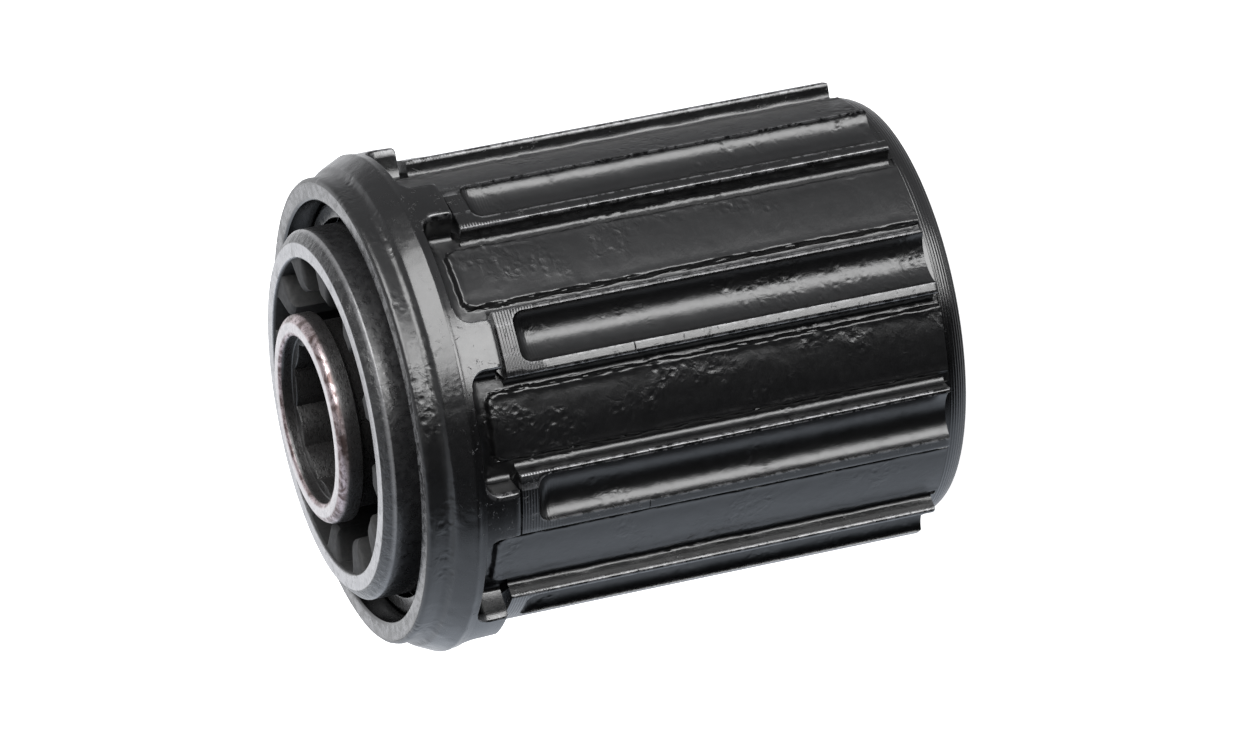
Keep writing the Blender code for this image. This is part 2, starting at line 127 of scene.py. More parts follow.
def make_object(name, parts, sharp=32.0, masks=None):
    """One mesh object from (points, faces) parts, in millimetres. masks are per-point values."""
    verts = np.concatenate([p for p, _ in parts])
    offset = 0
    faces = []
    for p, f in parts:
        faces.append(np.asarray(f) + offset)
        offset += len(p)
    faces = np.concatenate(faces)
    mesh = bpy.data.meshes.new(name)
    mesh.vertices.add(len(verts))
    mesh.vertices.foreach_set("co", (verts * MM).ravel())
    mesh.loops.add(faces.size)
    mesh.loops.foreach_set("vertex_index", faces.ravel())
    mesh.polygons.add(len(faces))
    mesh.polygons.foreach_set("loop_start", np.arange(0, faces.size, faces.shape[1]))
    mesh.polygons.foreach_set("loop_total", np.full(len(faces), faces.shape[1]))
    mesh.update(calc_edges=True)
    mesh.validate()
    for key, values in (masks or {}).items():
        layer = mesh.attributes.new(key, "FLOAT", "POINT")
        layer.data.foreach_set("value", np.asarray(values, dtype=float).ravel())
    mesh.shade_smooth()
    mesh.set_sharp_from_angle(angle=math.radians(sharp))
    obj = bpy.data.objects.new(name, mesh)
    bpy.context.scene.collection.objects.link(obj)
    return obj


def rounded(profile, radius, steps=4):
    """The closed (r, z) outline with its corners rounded off."""
    out = []
    count = len(profile)
    for i in range(count):
        p0, p1, p2 = (np.array(profile[(i + k) % count]) for k in (-1, 0, 1))
        a, b = p0 - p1, p2 - p1
        la, lb = np.linalg.norm(a), np.linalg.norm(b)
        turn = math.acos(np.clip(np.dot(a, b) / (la * lb), -1, 1))
        if math.pi - turn < math.radians(18):
            out.append(tuple(p1))
            continue
        cut = min(radius / math.tan(turn / 2), la * 0.42, lb * 0.42)
        start, end = p1 + a / la * cut, p1 + b / lb * cut
        for k in range(steps + 1):
            t = k / steps
            out.append(tuple((1 - t) ** 2 * start + 2 * t * (1 - t) * p1 + t * t * end))
    return out


def turned(name, profile, segments=160, radius=0.08, steps=3, sharp=32.0):
    """A ring spun from a closed (r, z) outline, with its corners rounded."""
    outline = np.array(rounded(profile, radius, steps)) if radius else np.array(profile)
    angles = np.arange(segments) * 360.0 / segments
    r = np.repeat(outline[:, 0:1], segments, axis=1)
    z = np.repeat(outline[:, 1:2], segments, axis=1)
    points = polar_points(r, angles[None, :], z)
    obj = make_object(name, [grid_mesh(points, close_rows=True)], sharp)
    outward(obj)
    return obj


def outward(obj):
    bm = bmesh.new()
    bm.from_mesh(obj.data)
    bmesh.ops.recalc_face_normals(bm, faces=bm.faces)
    bm.to_mesh(obj.data)
    bm.free()


def paint(obj, name, rule):
    """Stores a mask on every point, worked out from its radius and height in millimetres."""
    count = len(obj.data.vertices)
    flat = np.empty(count * 3)
    obj.data.vertices.foreach_get("co", flat)
    p = flat.reshape(-1, 3) / MM
    values = rule(np.hypot(p[:, 0], p[:, 1]), p[:, 2])
    layer = obj.data.attributes.new(name, "FLOAT", "POINT")
    layer.data.foreach_set("value", np.asarray(values, dtype=float))


def subtract(obj, cutters):
    """Cuts helper bodies out of the piece with exact Booleans and removes the helpers."""
    for cutter in cutters:
        modifier = obj.modifiers.new("cut", "BOOLEAN")
        modifier.operation = "DIFFERENCE"
        modifier.solver = "EXACT"
        modifier.object = cutter
    depsgraph = bpy.context.evaluated_depsgraph_get()
    mesh = bpy.data.meshes.new_from_object(obj.evaluated_get(depsgraph))
    obj.modifiers.clear()
    obj.data = mesh
    for cutter in cutters:
        bpy.data.objects.remove(cutter, do_unlink=True)
    mesh.shade_smooth()
    mesh.set_sharp_from_angle(angle=math.radians(30))
    return obj


def prism(name, outline, z0, z1):
    """A closed block between two heights over an (x, y) outline."""
    bm = bmesh.new()
    low = [bm.verts.new((x * MM, y * MM, z0 * MM)) for x, y in outline]
    high = [bm.verts.new((x * MM, y * MM, z1 * MM)) for x, y in outline]
    count = len(outline)
    for i in range(count):
        j = (i + 1) % count
        bm.faces.new((low[i], low[j], high[j], high[i]))
    bm.faces.new(list(reversed(low)))
    bm.faces.new(high)
    bmesh.ops.recalc_face_normals(bm, faces=bm.faces)
    mesh = bpy.data.meshes.new(name)
    bm.to_mesh(mesh)
    bm.free()
    obj = bpy.data.objects.new(name, mesh)
    bpy.context.scene.collection.objects.link(obj)
    return obj


def arc(cx, cy, radius, start, end, count):
    return [
        (
            cx + radius * math.cos(math.radians(start + (end - start) * i / (count - 1))),
            cy + radius * math.sin(math.radians(start + (end - start) * i / (count - 1))),
        )
        for i in range(count)
    ]


# ---------------------------------------------------------------- driver shell, outside

TRENCH_R = 15.95
PILLOW_R = 16.28
PILLOW_END = 1.2
GROOVE_OFFSET = 0.8
GROOVE_HALF = 6.35
GROOVE_DEPTH = 1.2
GROOVE_END = -1.75
GROOVE_CORNER = 0.9
GROOVE_STEPS = [math.sin(math.pi / 2 * i / 13) for i in range(14)]
VALLEY_FOOT = 1.7
VALLEY_STEPS = (
    0.12, 0.32, 0.6, 0.95, 1.35, 1.7, 1.98, 2.18, 2.34, 2.46, 2.56, 2.66, 2.76, 2.86, 2.98,
    3.12, 3.28, 3.46, 3.7, 4.0, 4.4, 4.95, 5.6, 6.4, 7.3, 8.3, 9.3, 10.3, 11.1,
)
POCKET_CORNER = 1.2
RIDGE_DEGREES = 3.29  # degrees to a millimetre round the ridge tops
POCKET_DEGREES = 3.31
VALLEY_ARC = 0.2827  # millimetres to a degree round the valley floors
POCKET_ARC = 0.295
NICK = -10.27
COLLAR = (
    (-35.75, 15.46), (-35.72, 15.56), (-35.6, 15.66), (-35.4, 15.78), (-35.15, 15.90),
    (-34.85, 16.0), (-34.6, 16.05), (-34.35, 16.06), (-34.2, 16.05),
)
FLANGE = (
    (0.0, 18.24), (0.1, 18.40), (0.25, 18.46), (1.4, 18.50), (2.6, 18.47), (3.0, 18.52),
    (3.2, 18.575), (3.32, 18.585), (3.42, 18.55), (3.7, 18.41), (4.2, 18.19), (4.65, 17.97),
    (4.8, 17.86), (4.95, 17.66), (5.12, 17.48), (5.35, 17.38), (5.7, 17.37), (6.3, 17.38),
    (6.5, 17.34), (6.62, 17.24), (6.7, 17.08),
)


def corner_inside(a, b, corner):
    """How far a point is inside a corner, given its distances from the two sides."""
    near = (a < corner) & (b < corner)
    curved = corner - np.sqrt(np.maximum((corner - a), 0) ** 2 + np.maximum((corner - b), 0) ** 2)
    return np.where(near, curved, np.minimum(a, b))


def fillet(d, radius):
    t = np.clip(radius - d, 0.0, radius)
    return radius - np.sqrt(radius**2 - t**2)


def valley_radius(off, z, half, zone):
    """Floor of a valley, with off degrees from the ridge centre."""
    points = polar_points(np.full_like(off, 16.2), off * 3.7 + half * 40, np.full_like(off, z))
    inside = (off - half - 2.63) * VALLEY_ARC
    end = np.full_like(off, PILLOW_END - z)
    wobble = 0.09 * lumps(points, 0.7, 3) + 0.06 * lumps(points, 0.28, 5)
    s = corner_inside(inside, end, 0.9) + wobble
    rise = smooth((s + 0.06) / 0.34)
    lip = np.exp(-(((s - 0.30) / 0.22) ** 2)) * 0.05
    radius = TRENCH_R + (PILLOW_R - TRENCH_R) * rise + lip
    if zone == "ridge":
        radius = np.maximum(radius, TRENCH_R + fillet((off - half) * VALLEY_ARC, 0.55))
    if zone == "pocket":
        low = np.full_like(off, POCKET - z)
        d = corner_inside((off - half + OVERCUT) * POCKET_ARC, low, POCKET_CORNER)
        radius = np.maximum(radius, TRENCH_R + fillet(np.maximum(d, 0.0), 0.6))
        radius = np.maximum(radius, TRENCH_R + fillet(np.maximum(low, 0.0), 1.35))
    return radius


def flange_radius(z):
    """Outside of the inboard flange and neck, by height above the shoulder."""
    heights, radii = zip(*FLANGE)
    return float(np.interp(z, heights, radii))


def groove_depth(x_deg, z):
    """Depth of the relief groove on a ridge top, x_deg degrees off the ridge centre."""
    if z > GROOVE_END:
        return np.zeros_like(x_deg)
    t = np.clip((GROOVE_END - z) / 1.25, 0.0, 1.0)
    along = (1.0 - (1.0 - t) ** 2) ** 0.55
    x = np.clip(np.abs(x_deg - GROOVE_OFFSET) / groove_half(z), 0.0, 1.0)
    across = (1.0 - x**2) ** 0.62
    return GROOVE_DEPTH * across * along


def groove_half(z):
    inner = GROOVE_END - GROOVE_CORNER
    if z <= inner:
        return GROOVE_HALF
    short = GROOVE_CORNER - math.sqrt(max(GROOVE_CORNER**2 - (min(z, GROOVE_END) - inner) ** 2, 0))
    return GROOVE_HALF - short * RIDGE_DEGREES


def shell_rows():
    """Rows of the outside as (zone, height, drop), outboard end first. The collar's drop is its radius."""
    rows = [("collar", z, r) for z, r in COLLAR]
    rows += [("start", z, 0.0) for z in (-34.15, -34.08, -33.95, RIDGE_END)]
    rows += [("ridge", RIDGE_END, 0.13), ("ridge", RIDGE_END + 0.04, 0.04)]
    rows += [("ridge", RIDGE_END + 0.14, 0.0)]
    z = RIDGE_END + 0.4
    while z < -3.2:
        rows.append(("ridge", z, 0.0))
        z += 0.36
    rows += [("ridge", NICK - 0.06, 0.0), ("ridge", NICK, -1.0), ("ridge", NICK + 0.06, 0.0)]
    for i in range(13):
        a = math.radians(90 * i / 12)
        rows.append(("ridge", GROOVE_END - GROOVE_CORNER * (1 - math.sin(a)), 0.0))
    rows += [("ridge", z, 0.0) for z in (-3.1, -2.95, -2.8, -1.745, -1.5, -1.15, -0.8, -0.6)]
    rows += [("ridge", -UNDERCUT - 0.05, 0.0), ("ridge", -UNDERCUT - 0.012, 0.03)]
    rows += [("ridge", -UNDERCUT, 0.10)]
    rows += [("gap", -UNDERCUT, 0.0), ("gap", -0.22, 0.0), ("gap", 0.0, 0.0)]
    for z in (0.0, 0.1, 0.25, 0.45, 0.65, 0.8, 0.9, 0.97, 1.04, 1.1, 1.16, 1.22, 1.28, 1.34, 1.4):
        rows.append(("pocket", z, 0.0))
    for i in range(1, 9):
        rise = POCKET_CORNER * math.sin(math.radians(90 * i / 8))
        rows.append(("pocket", 1.4 + rise, 0.0))
    rows += [("flange", POCKET, 0.12), ("flange", POCKET + 0.03, 0.04), ("flange", 2.68, 0.0)]
    rows += [("flange", z, 0.0) for z in (
        2.85, 3.0, 3.1, 3.2, 3.27, 3.33, 3.38, 3.45, 3.6, 3.8, 4.05, 4.3, 4.5, 4.63, 4.73, 4.8,
        4.88, 4.95, 5.03, 5.12, 5.22, 5.35, 5.5, 5.7, 5.95, 6.2, 6.35, 6.47, 6.55, 6.62, 6.67, 6.7,
    )]
    order = {"collar": 0, "start": 1, "ridge": 2, "gap": 3, "pocket": 4, "flange": 5}
    rows.sort(key=lambda row: (order[row[0]], row[1], -row[2] if row[1] < -30 else row[2]))
    return rows


def wall_angle(zone, z, half):
    """Where a ridge's side wall stands, in degrees from the ridge's centre."""
    if zone in ("collar", "start", "ridge"):
        return half
    if zone == "gap":
        return half - OVERCUT * (z + UNDERCUT) / UNDERCUT
    t = min(max(z - (POCKET - POCKET_CORNER), 0.0), POCKET_CORNER)
    rounding = POCKET_CORNER - math.sqrt(max(POCKET_CORNER**2 - t * t, 0.0))
    return half - OVERCUT + rounding * POCKET_DEGREES


def ridge_columns(half, wall, groove):
    """Column angles across a ridge top, close together at its edges and across its groove."""
    k = wall / half
    low, high = GROOVE_OFFSET - groove, GROOVE_OFFSET + groove
    land = (low - 0.22) + half - 0.38
    columns = [-wall, -wall + 0.03, -wall + 0.12, -wall + 0.38]
    columns += [(-half + 0.38 + land * t) * k for t in (0.25, 0.5, 0.8)]
    columns += [(low - 0.22) * k, (low - 0.07) * k]
    columns += [(GROOVE_OFFSET - groove * g) * k for g in reversed(GROOVE_STEPS)]
    columns += [(GROOVE_OFFSET + groove * g) * k for g in GROOVE_STEPS[1:]]
    columns += [(high + 0.07) * k, (high + 0.22) * k]
    columns += [((high + 0.22) + (half - 0.38 - GROOVE_OFFSET - groove - 0.22) * 0.5) * k]
    columns += [wall - 0.38, wall - 0.12, wall - 0.03, wall]
    return np.array(columns)


def side_columns(half, wall):
    """Column angles from a ridge's wall out to the middle of its valley."""
    foot = half + VALLEY_FOOT
    stretch = (PITCH / 2 - foot) / (PITCH / 2 - RIDGE_HALF - VALLEY_FOOT)
    return np.array(
        [
            wall + (foot - wall) * v / VALLEY_FOOT if v <= VALLEY_FOOT
            else foot + (v - VALLEY_FOOT) * stretch
            for v in VALLEY_STEPS
        ]
    )


def edge_wear(top, wall, depth):
    """How far the edges of a ridge top are rubbed down by wear."""
    off = np.minimum(top + wall, wall - top)
    return np.where(off < 0.37, depth * (1 - off / 0.38) ** 2, 0.0)


def top_radius(zone, z, drop, top, wall, narrow):
    """Radius across a ridge top, or across what takes its place in the other zones."""
    level = {"collar": drop, "start": 16.1, "gap": 16.55, "ridge": RIDGE_R}.get(zone)
    r = np.full(len(top), flange_radius(z) if level is None else level)
    if zone == "pocket":
        r = r - edge_wear(top, wall, 0.12)
    if zone == "ridge":
        if not narrow:
            r = r - groove_depth(top, z)
        r = r - edge_wear(top, wall, 0.11)
        if drop > 0:
            r = np.minimum(r, RIDGE_R - drop)
        elif drop < 0:
            r = np.where(r > RIDGE_R - 0.2, r - 0.07, r)
    return r


def side_radii(zone, z, drop, side, half):
    """Radii of the valley right of a ridge and of the one left of it, both left to right."""
    if zone in ("collar", "flange"):
        flat = np.full(len(side), drop if zone == "collar" else flange_radius(z) - drop)
        return flat, flat
    if zone == "start" and z < -34.1:
        flat = np.full(len(side), 16.05)
        return flat, flat
    return valley_radius(side, z, half, zone), valley_radius(side[::-1], z, half, zone)


def wall_radii(zone, z, drop, r_top, foot_left, foot_right):
    """Three radii down the left wall and three down the right one, from the top to the foot."""
    if zone == "flange":
        flat = np.full(3, flange_radius(z) - drop)
        return flat, flat
    if zone in ("ridge", "pocket"):
        t = np.array([0.25, 0.6, 0.95])
        return r_top[0] + (foot_left - r_top[0]) * t, r_top[-1] + (foot_right - r_top[-1]) * t
    return np.full(3, r_top[0]), np.full(3, r_top[-1])


def edge_line(distance, width):
    return np.exp(-((distance / width) ** 2))


def row_masks(zone, z, narrow, a, r, wall, groove, top):
    """Cast skin, turning marks, wear and bare metal along one ridge's part of a row."""
    skin, turn, wear_and_painted_shade, bare = (np.zeros(len(a)) for _ in range(4))
    if zone in ("ridge", "start", "gap", "pocket"):
        skin[: top.start - 3] = 1.0
        skin[top.stop + 3 :] = 1.0
    if zone == "ridge":
        skin[top] = np.clip((RIDGE_R - 0.12 - r[top]) / 0.2, 0, 1) * 0.8
        fade = np.clip((z + 3.75 + 0.3 * np.sin(a[top] * 0.4)) / 0.25, 0, 1)
        turn[top] = fade * (1 - skin[top])
        wear_and_painted_shade[top] = np.where(r[top] > RIDGE_R - 0.14, 1.0, 0.0)
        wear_and_painted_shade[top.start - 1] = wear_and_painted_shade[top.stop] = 0.6
        edge = edge_line(np.abs(a) - wall + 0.12, 0.2)
        rim = edge_line(np.abs(a - GROOVE_OFFSET) - groove - 0.1, 0.16)
        bare[top] = (edge + (0 if narrow else 0.7) * rim)[top] * 0.55
    if zone == "collar":
        turn[:] = 1.0
    if zone == "pocket":
        wear_and_painted_shade[top] = 1.0
        bare[top] = 0.4 * edge_line(np.abs(a) - wall + 0.12, 0.25)[top]
    if zone == "flange":
        if z < 3.35:
            wear_and_painted_shade[:] = 1.0
        if z > 4.7:
            skin[:] = min((z - 4.7) / 0.2, 1.0)
        elif z > 3.35:
            skin[:] = 0.25
    return {"skin": skin, "turn": turn, "wear_and_painted_shade": wear_and_painted_shade, "bare": bare}


def ridge_stretch(zone, z, drop, ridge):
    """Angles, radii and masks of one ridge and the half valleys beside it, in one row."""
    narrow = ridge == NARROW
    half = NARROW_HALF if narrow else RIDGE_HALF
    groove = GROOVE_HALF * 0.6 if narrow else groove_half(z)
    wall = wall_angle(zone, z, half)
    top = ridge_columns(half, wall, groove)
    side = side_columns(half, wall)
    r_top = top_radius(zone, z, drop, top, wall, narrow)
    right, left = side_radii(zone, z, drop, side, half)
    wall_left, wall_right = wall_radii(zone, z, drop, r_top, left[-1], right[0])
    down = wall + (side[0] - wall) * np.array([0.12, 0.3, 0.6])
    a = np.concatenate([-side[::-1][1:], -down[::-1], top, down, side])
    r = np.concatenate([left[1:], wall_left[::-1], r_top, wall_right, right])
    first = len(side) - 1 + len(down)
    top_slice = slice(first, first + len(top))
    masks = row_masks(zone, z, narrow, a, r, wall, groove, top_slice)
    return a + (PHASE + PITCH * ridge), r, masks


def shell_outside():
    """Points and masks of the outside, with all nine ridges in each row."""
    rows = shell_rows()
    stretches = [
        [ridge_stretch(zone, z, drop, ridge) for ridge in range(SPLINES)] for zone, z, drop in rows
    ]
    a = np.array([np.concatenate([part[0] for part in row]) for row in stretches])
    r = np.array([np.concatenate([part[1] for part in row]) for row in stretches])
    masks = {
        key: np.array([np.concatenate([part[2][key] for part in row]) for row in stretches])
        for key in ("skin", "turn", "wear_and_painted_shade", "bare")
    }
    height = np.repeat(np.array([z for _, z, _ in rows])[:, None], a.shape[1], axis=1)
    base = polar_points(r, a, height + SHOULDER)
    r = r + (0.022 * lumps(base, 1.5, 11) + 0.012 * lumps(base, 0.55, 12)) * masks["skin"]
    band = np.clip((height - 2.7) / 0.5, 0, 1) * np.clip((5.6 - height) / 0.3, 0, 1)
    r = r - band * (0.02 + 0.02 * lumps(base, 0.8, 21))
    return polar_points(r, a, height + SHOULDER), masks


def shell_inside():
    """Rows from the rim's front face down the bore to the outboard end face."""
    count = 720
    angles = -25.0 + np.arange(count) * 0.5
    rows = []

    def add(z, r, kind="plain"):
        rows.append((z, r, kind))

    s = SHOULDER
    add(RIM, 17.08)
    add(RIM, 16.9)
    add(RIM, 16.3)
    add(RIM - 0.005, 15.98)
    add(RIM - 0.05, 15.84)
    add(RIM - 0.16, 15.74)
    add(RIM - 0.4, 15.72)
    add(s + 4.6, 15.71)
    add(s + 3.68, 15.7)
    add(s + 3.6, 15.62)
    add(s + 3.3, 15.06)
    add(s + 3.22, 15.0)
    for r, z in arc(BALL_PITCH_R, INBOARD_BALLS_Z, RACE_R, 0, -60, 12):
        add(z, r)
    add(32.72, 13.62)
    add(32.0, 13.6)
    add(29.45, 13.6)
    add(29.35, 13.75)
    add(29.3, 14.5)
    add(29.2, 14.6)
    add(28.95, 14.6)
    add(28.9, 14.6, "land")
    add(28.9, 14.6, "teeth")
    add(28.4, 14.6, "teeth")
    add(21.1, 14.6, "teeth")
    add(20.6, 14.6, "teeth")
    add(20.6, 14.6, "land")
    add(20.5, 14.6)
    add(14.1, 14.6)
    add(14.0, 14.5)
    add(13.45, 13.7)
    add(13.35, 13.6)
    add(11.4, 13.6)
    for r, z in arc(BALL_PITCH_R, OUTBOARD_BALLS_Z, RACE_R, 60, 0, 12):
        add(z, r)
    add(8.05, 15.0)
    add(7.8, 14.92)
    z = 7.6
    while z > 0.55:
        add(z, 14.9, "thread")
        z -= 0.125
    add(0.45, 14.9)
    add(0.25, 14.92)
    add(0.0, 15.1)
    add(0.0, 15.3)
    add(0.0, 15.46)
    pts = []
    for z, r, kind in rows:
        radius = np.full(count, r)
        if kind == "teeth":
            phase = (np.arange(count) % 20) / 20.0
            ramp = RATCHET_DEPTH * (phase - 0.04) / 0.96
            radius = np.where(phase < 0.04, RATCHET_ROOT_R, RATCHET_ROOT_R - ramp)
        if kind == "thread":
            t = (z - (angles + 25.0) / 360.0) % 1.0
            tri = 1.0 - np.abs(2.0 * t - 1.0)
            radius = 14.9 + 0.42 * smooth((tri - 0.12) / 0.76)
        pts.append(polar_points(radius, angles, np.full(count, z)))
    return np.array(pts)


def make_shell():
    outside, masks = shell_outside()
    inside = shell_inside()
    full = {}
    for key, values in masks.items():
        extra = np.zeros(inside.shape[:2])
        if key == "turn":
            extra[:4] = 0.3
        if key == "wear_and_painted_shade":
            extra[:6] = 0.8
        if key == "bare":
            extra[1:4] = 0.4
        full[key] = np.concatenate([values.ravel(), extra.ravel()])
    shell = make_object(
        "driver_shell_body",
        [grid_mesh(outside), grid_mesh(inside)],
        sharp=34.0,
        masks=full,
    )
    bm = bmesh.new()
    bm.from_mesh(shell.data)
    bmesh.ops.dissolve_degenerate(bm, dist=2e-7, edges=bm.edges)
    bm.to_mesh(shell.data)
    bm.free()
    shell.data.set_sharp_from_angle(angle=math.radians(34))
    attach(shell, "driver")
    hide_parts("driver_shell")
    return shell


# ---------------------------------------------------------------- inner core


def lug_radius(angles, tip, root):
    """Twelve rounded knobs that stand in from the bore wall."""
    off = np.abs((angles + 15.0) % 30.0 - 15.0)
    return tip + (root - tip) * smooth((off - 3.9) / 3.0)


def core_bare(r, z):
    """Bright front face, with traces of bare metal on the chamfer's foot and the lug fronts."""
    on_face = (z > CORE_FACE - 0.03) & (r > 11.85) & (r < 12.95)
    chamfer_foot = (z > 43.58) & (z < 43.69) & (r > 13.6)
    lug_front = (z > 43.9) & (r < LUG_ROOT_R - 0.01)
    return on_face * 1.0 + chamfer_foot * 0.3 + lug_front * 0.25


def core_skin(r, z):
    """Rough on the chamfer, nearly smooth on the front face."""
    on_chamfer = (z > 43.75) & (r > 12.96) & (r < 13.7)
    return np.where(on_chamfer, 0.9, np.where(z > CORE_FACE - 0.05, 0.05, 0.25))


def make_core():
    count = 12 * 30
    angles = np.arange(count) * 360.0 / count
    face = CORE_FACE
    rows = []

    def add(r, z, lug=None):
        rows.append((r, z, lug))

    for z in (36.7, 38.5, 40.5, 42.0, 43.0, 43.5):
        add(CORE_R, z)
    add(13.78, 43.6)
    add(13.72, 43.67)
    add(13.52, 43.87)
    add(13.3, 44.08)
    add(13.05, 44.30)
    add(12.98, 44.34)
    add(12.9, face)
    add(12.4, face)
    add(11.9, face)
    add(11.8, face - 0.08)
    add(11.74, 44.15)
    for rise, z in ((0.0, 44.15), (0.35, 44.12), (0.6, 44.06), (0.8, 43.96), (0.92, 43.82),
                    (0.98, 43.65), (1.0, 43.4), (1.0, 42.0), (1.0, 40.0), (1.0, 38.5)):
        add(None, z, rise)
    add(9.25, 38.4)
    add(LUG_TIP_R, 38.3)
    add(LUG_TIP_R, 33.4)
    add(8.15, 33.05)
    add(8.1, 32.9)
    add(8.1, 22.75)
    add(8.2, 22.7)
    add(8.85, 22.7)
    add(8.9, 22.6)
    add(8.9, 17.2)
    add(9.0, 17.1)
    add(10.55, 17.1)
    add(10.6, 17.0)
    add(10.7, 12.6)
    add(10.8, 12.55)
    add(12.2, 12.55)
    add(12.3, 12.65)
    add(12.3, 13.3)
    add(12.4, 13.42)
    add(13.0, 13.85)
    add(13.1, 14.0)
    for z in (18.0, 22.0, 27.0, 31.0):
        add(13.1, z)
    add(13.08, 31.55)
    add(11.3, 32.68)
    add(11.21, 32.8)
    for r, z in arc(BALL_PITCH_R, INBOARD_BALLS_Z, RACE_R, 180 + 35, 120, 14)[4:]:
        add(r, z)
    add(13.15, 36.38)
    add(13.7, 36.62)
    pts = []
    for r, z, lug in rows:
        if lug is None:
            radius = np.full(count, r)
        else:
            radius = LUG_ROOT_R - (LUG_ROOT_R - lug_radius(angles, LUG_TIP_R, LUG_ROOT_R)) * lug
        pts.append(polar_points(radius, angles, np.full(count, z)))
    core = make_object("inner_core_body", [grid_mesh(np.array(pts), close_rows=True)], 34.0)
    outward(core)

    cutters = []
    for number, turn in enumerate((0.0, 180.0)):
        outline = [(13.9, 1.2)]
        outline += arc(11.4, 0.0, 1.65, 45, 248, 24)
        for radius, degrees in ((11.25, -17.0), (11.2, -27.5), (11.2, -29.8), (13.9, -29.8)):
            a = math.radians(degrees)
            outline.append((radius * math.cos(a), radius * math.sin(a)))
        outline.append((14.6, -3.0))
        c, s = math.cos(math.radians(turn)), math.sin(math.radians(turn))
        outline = [(x * c - y * s, x * s + y * c) for x, y in outline]
        cutters.append(prism(f"pawl_pocket_{number}", outline, 21.3, 28.2))
    groove = turned("wire_groove", [(12.1, 24.15), (14.5, 24.15), (14.5, 25.35), (12.1, 25.35)], 128, 0)
    cutters.append(groove)
    subtract(core, cutters)
    paint(core, "bare", core_bare)
    # painted shade: this mask covers the bore and its lugs below the front face, which the core's material
    # darkens to near black
    paint(core, "wear_and_painted_shade", lambda r, z: ((r < LUG_ROOT_R + 0.06) & (z > 33.0) & (z < CORE_FACE - 0.15)) * 1.0)
    paint(core, "skin", core_skin)
    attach(core, "core")
    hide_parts("inner_core")
    return core


# ---------------------------------------------------------------- fixing bolt


def socket_radius(angles):
    """Twelve ribs bulge inwards between sharp cusps."""
    t = ((angles - (18.5 - 90.0)) / 30.0) % 1.0
    return 5.35 + 0.5 * np.abs(2 * t - 1) ** 2.1


def make_bolt():
    count = 12 * 28
    angles = 18.5 - 90.0 + np.arange(count) * 360.0 / count
    end = BOLT_END
    rows = [
        (8.5, 18.4, 0), (8.5, 21.5, 0), (8.42, 21.6, 0), (7.95, 21.6, 0), (BOLT_R, 21.75, 0),
        (BOLT_R, 25.0, 0), (BOLT_R, 33.3, 0), (7.74, 33.44, 0), (7.02, 33.96, 0), (BOLT_NECK_R, 34.1, 0),
        (BOLT_NECK_R, 39.0, 0), (BOLT_NECK_R, 43.5, 0), (7.0, 43.68, 0), (7.72, 43.95, 0), (BOLT_R, 44.05, 0),
        (BOLT_R, end - 1.0, 0),
    ]
    for step in range(9):
        a = math.radians(step * 90 / 8)
        rows.append((7.05 + 0.75 * math.cos(a), end - 0.7 + 0.7 * math.sin(a), 0))
    rows += [
        (6.9, end, 0), (6.6, end - 0.005, 0), (6.44, end - 0.04, 0), (6.3, end - 0.12, 0),
        (6.22, end - 0.25, 0), (6.2, end - 0.45, 0), (6.2, end - 0.8, 0), (6.19, end - 0.97, 0),
        (6.12, end - 1.03, 0),
        (0.06, end - 1.06, 1), (0.015, end - 1.10, 1), (0.0, end - 1.2, 1), (0.0, end - 3.0, 1),
        (0.0, end - 8.0, 1), (0.0, 30.4, 1), (0.05, 30.3, 1),
        (6.0, 29.75, 0), (6.1, 29.6, 0), (6.1, 18.15, 0), (6.25, 18.0, 0), (8.1, 18.0, 0),
        (8.38, 18.12, 0),
    ]
    pts = []
    for r, z, socket in rows:
        radius = socket_radius(angles) + r if socket else np.full(count, r)
        pts.append(polar_points(radius, angles, np.full(count, z)))
    bolt = make_object("fixing_bolt_body", [grid_mesh(np.array(pts), close_rows=True)], 34.0)
    outward(bolt)
    paint(bolt, "bare", lambda r, z: smooth((z - end + 0.75) / 0.45) * (r > 6.26))
    paint(bolt, "wear_and_painted_shade", lambda r, z: (z > end - 0.03) * (r > 6.26) * 1.0)
    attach(bolt, "bolt")
    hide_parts("fixing_bolt")
    return bolt


# ---------------------------------------------------------------- bearings, seals and small parts


def make_balls(name, z, body):
    """The loose balls of one row."""
    rows, cols, radius = 18, 30, BALL_R
    parts = []
    for ball in range(BALLS):
        a = 2 * math.pi * ball / BALLS
        centre = np.array([BALL_PITCH_R * math.cos(a), BALL_PITCH_R * math.sin(a), z])
        lat = np.linspace(-89.0, 89.0, rows)
        lon = np.arange(cols) * 360.0 / cols
        ring = polar_points(
            radius * np.cos(np.radians(lat))[:, None] + 0 * lon[None, :],
            lon[None, :] + 0 * lat[:, None],
            radius * np.sin(np.radians(lat))[:, None] + 0 * lon[None, :],
        )
        points, faces = grid_mesh(ring + centre)
        poles = np.array([centre - (0, 0, radius), centre + (0, 0, radius)])
        base = len(points)
        caps = []
        for i in range(cols):
            j = (i + 1) % cols
            caps.append((j, i, base, base))
            top = (rows - 1) * cols
            caps.append((top + i, top + j, base + 1, base + 1))
        parts.append((np.concatenate([points, poles]), faces, caps))
    verts, quads, tris, offset = [], [], [], 0
    for points, faces, caps in parts:
        verts.append(points)
        quads.append(faces + offset)
        tris += [tuple(i + offset for i in cap[:3]) for cap in caps]
        offset += len(points)
    mesh = bpy.data.meshes.new(name)
    faces = [tuple(f) for f in np.concatenate(quads).tolist()] + tris
    mesh.from_pydata((np.concatenate(verts) * MM).tolist(), [], faces)
    mesh.shade_smooth()
    obj = bpy.data.objects.new(name, mesh)
    bpy.context.scene.collection.objects.link(obj)
    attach(obj, body)
    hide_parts(name.replace("_row", ""))
    return obj


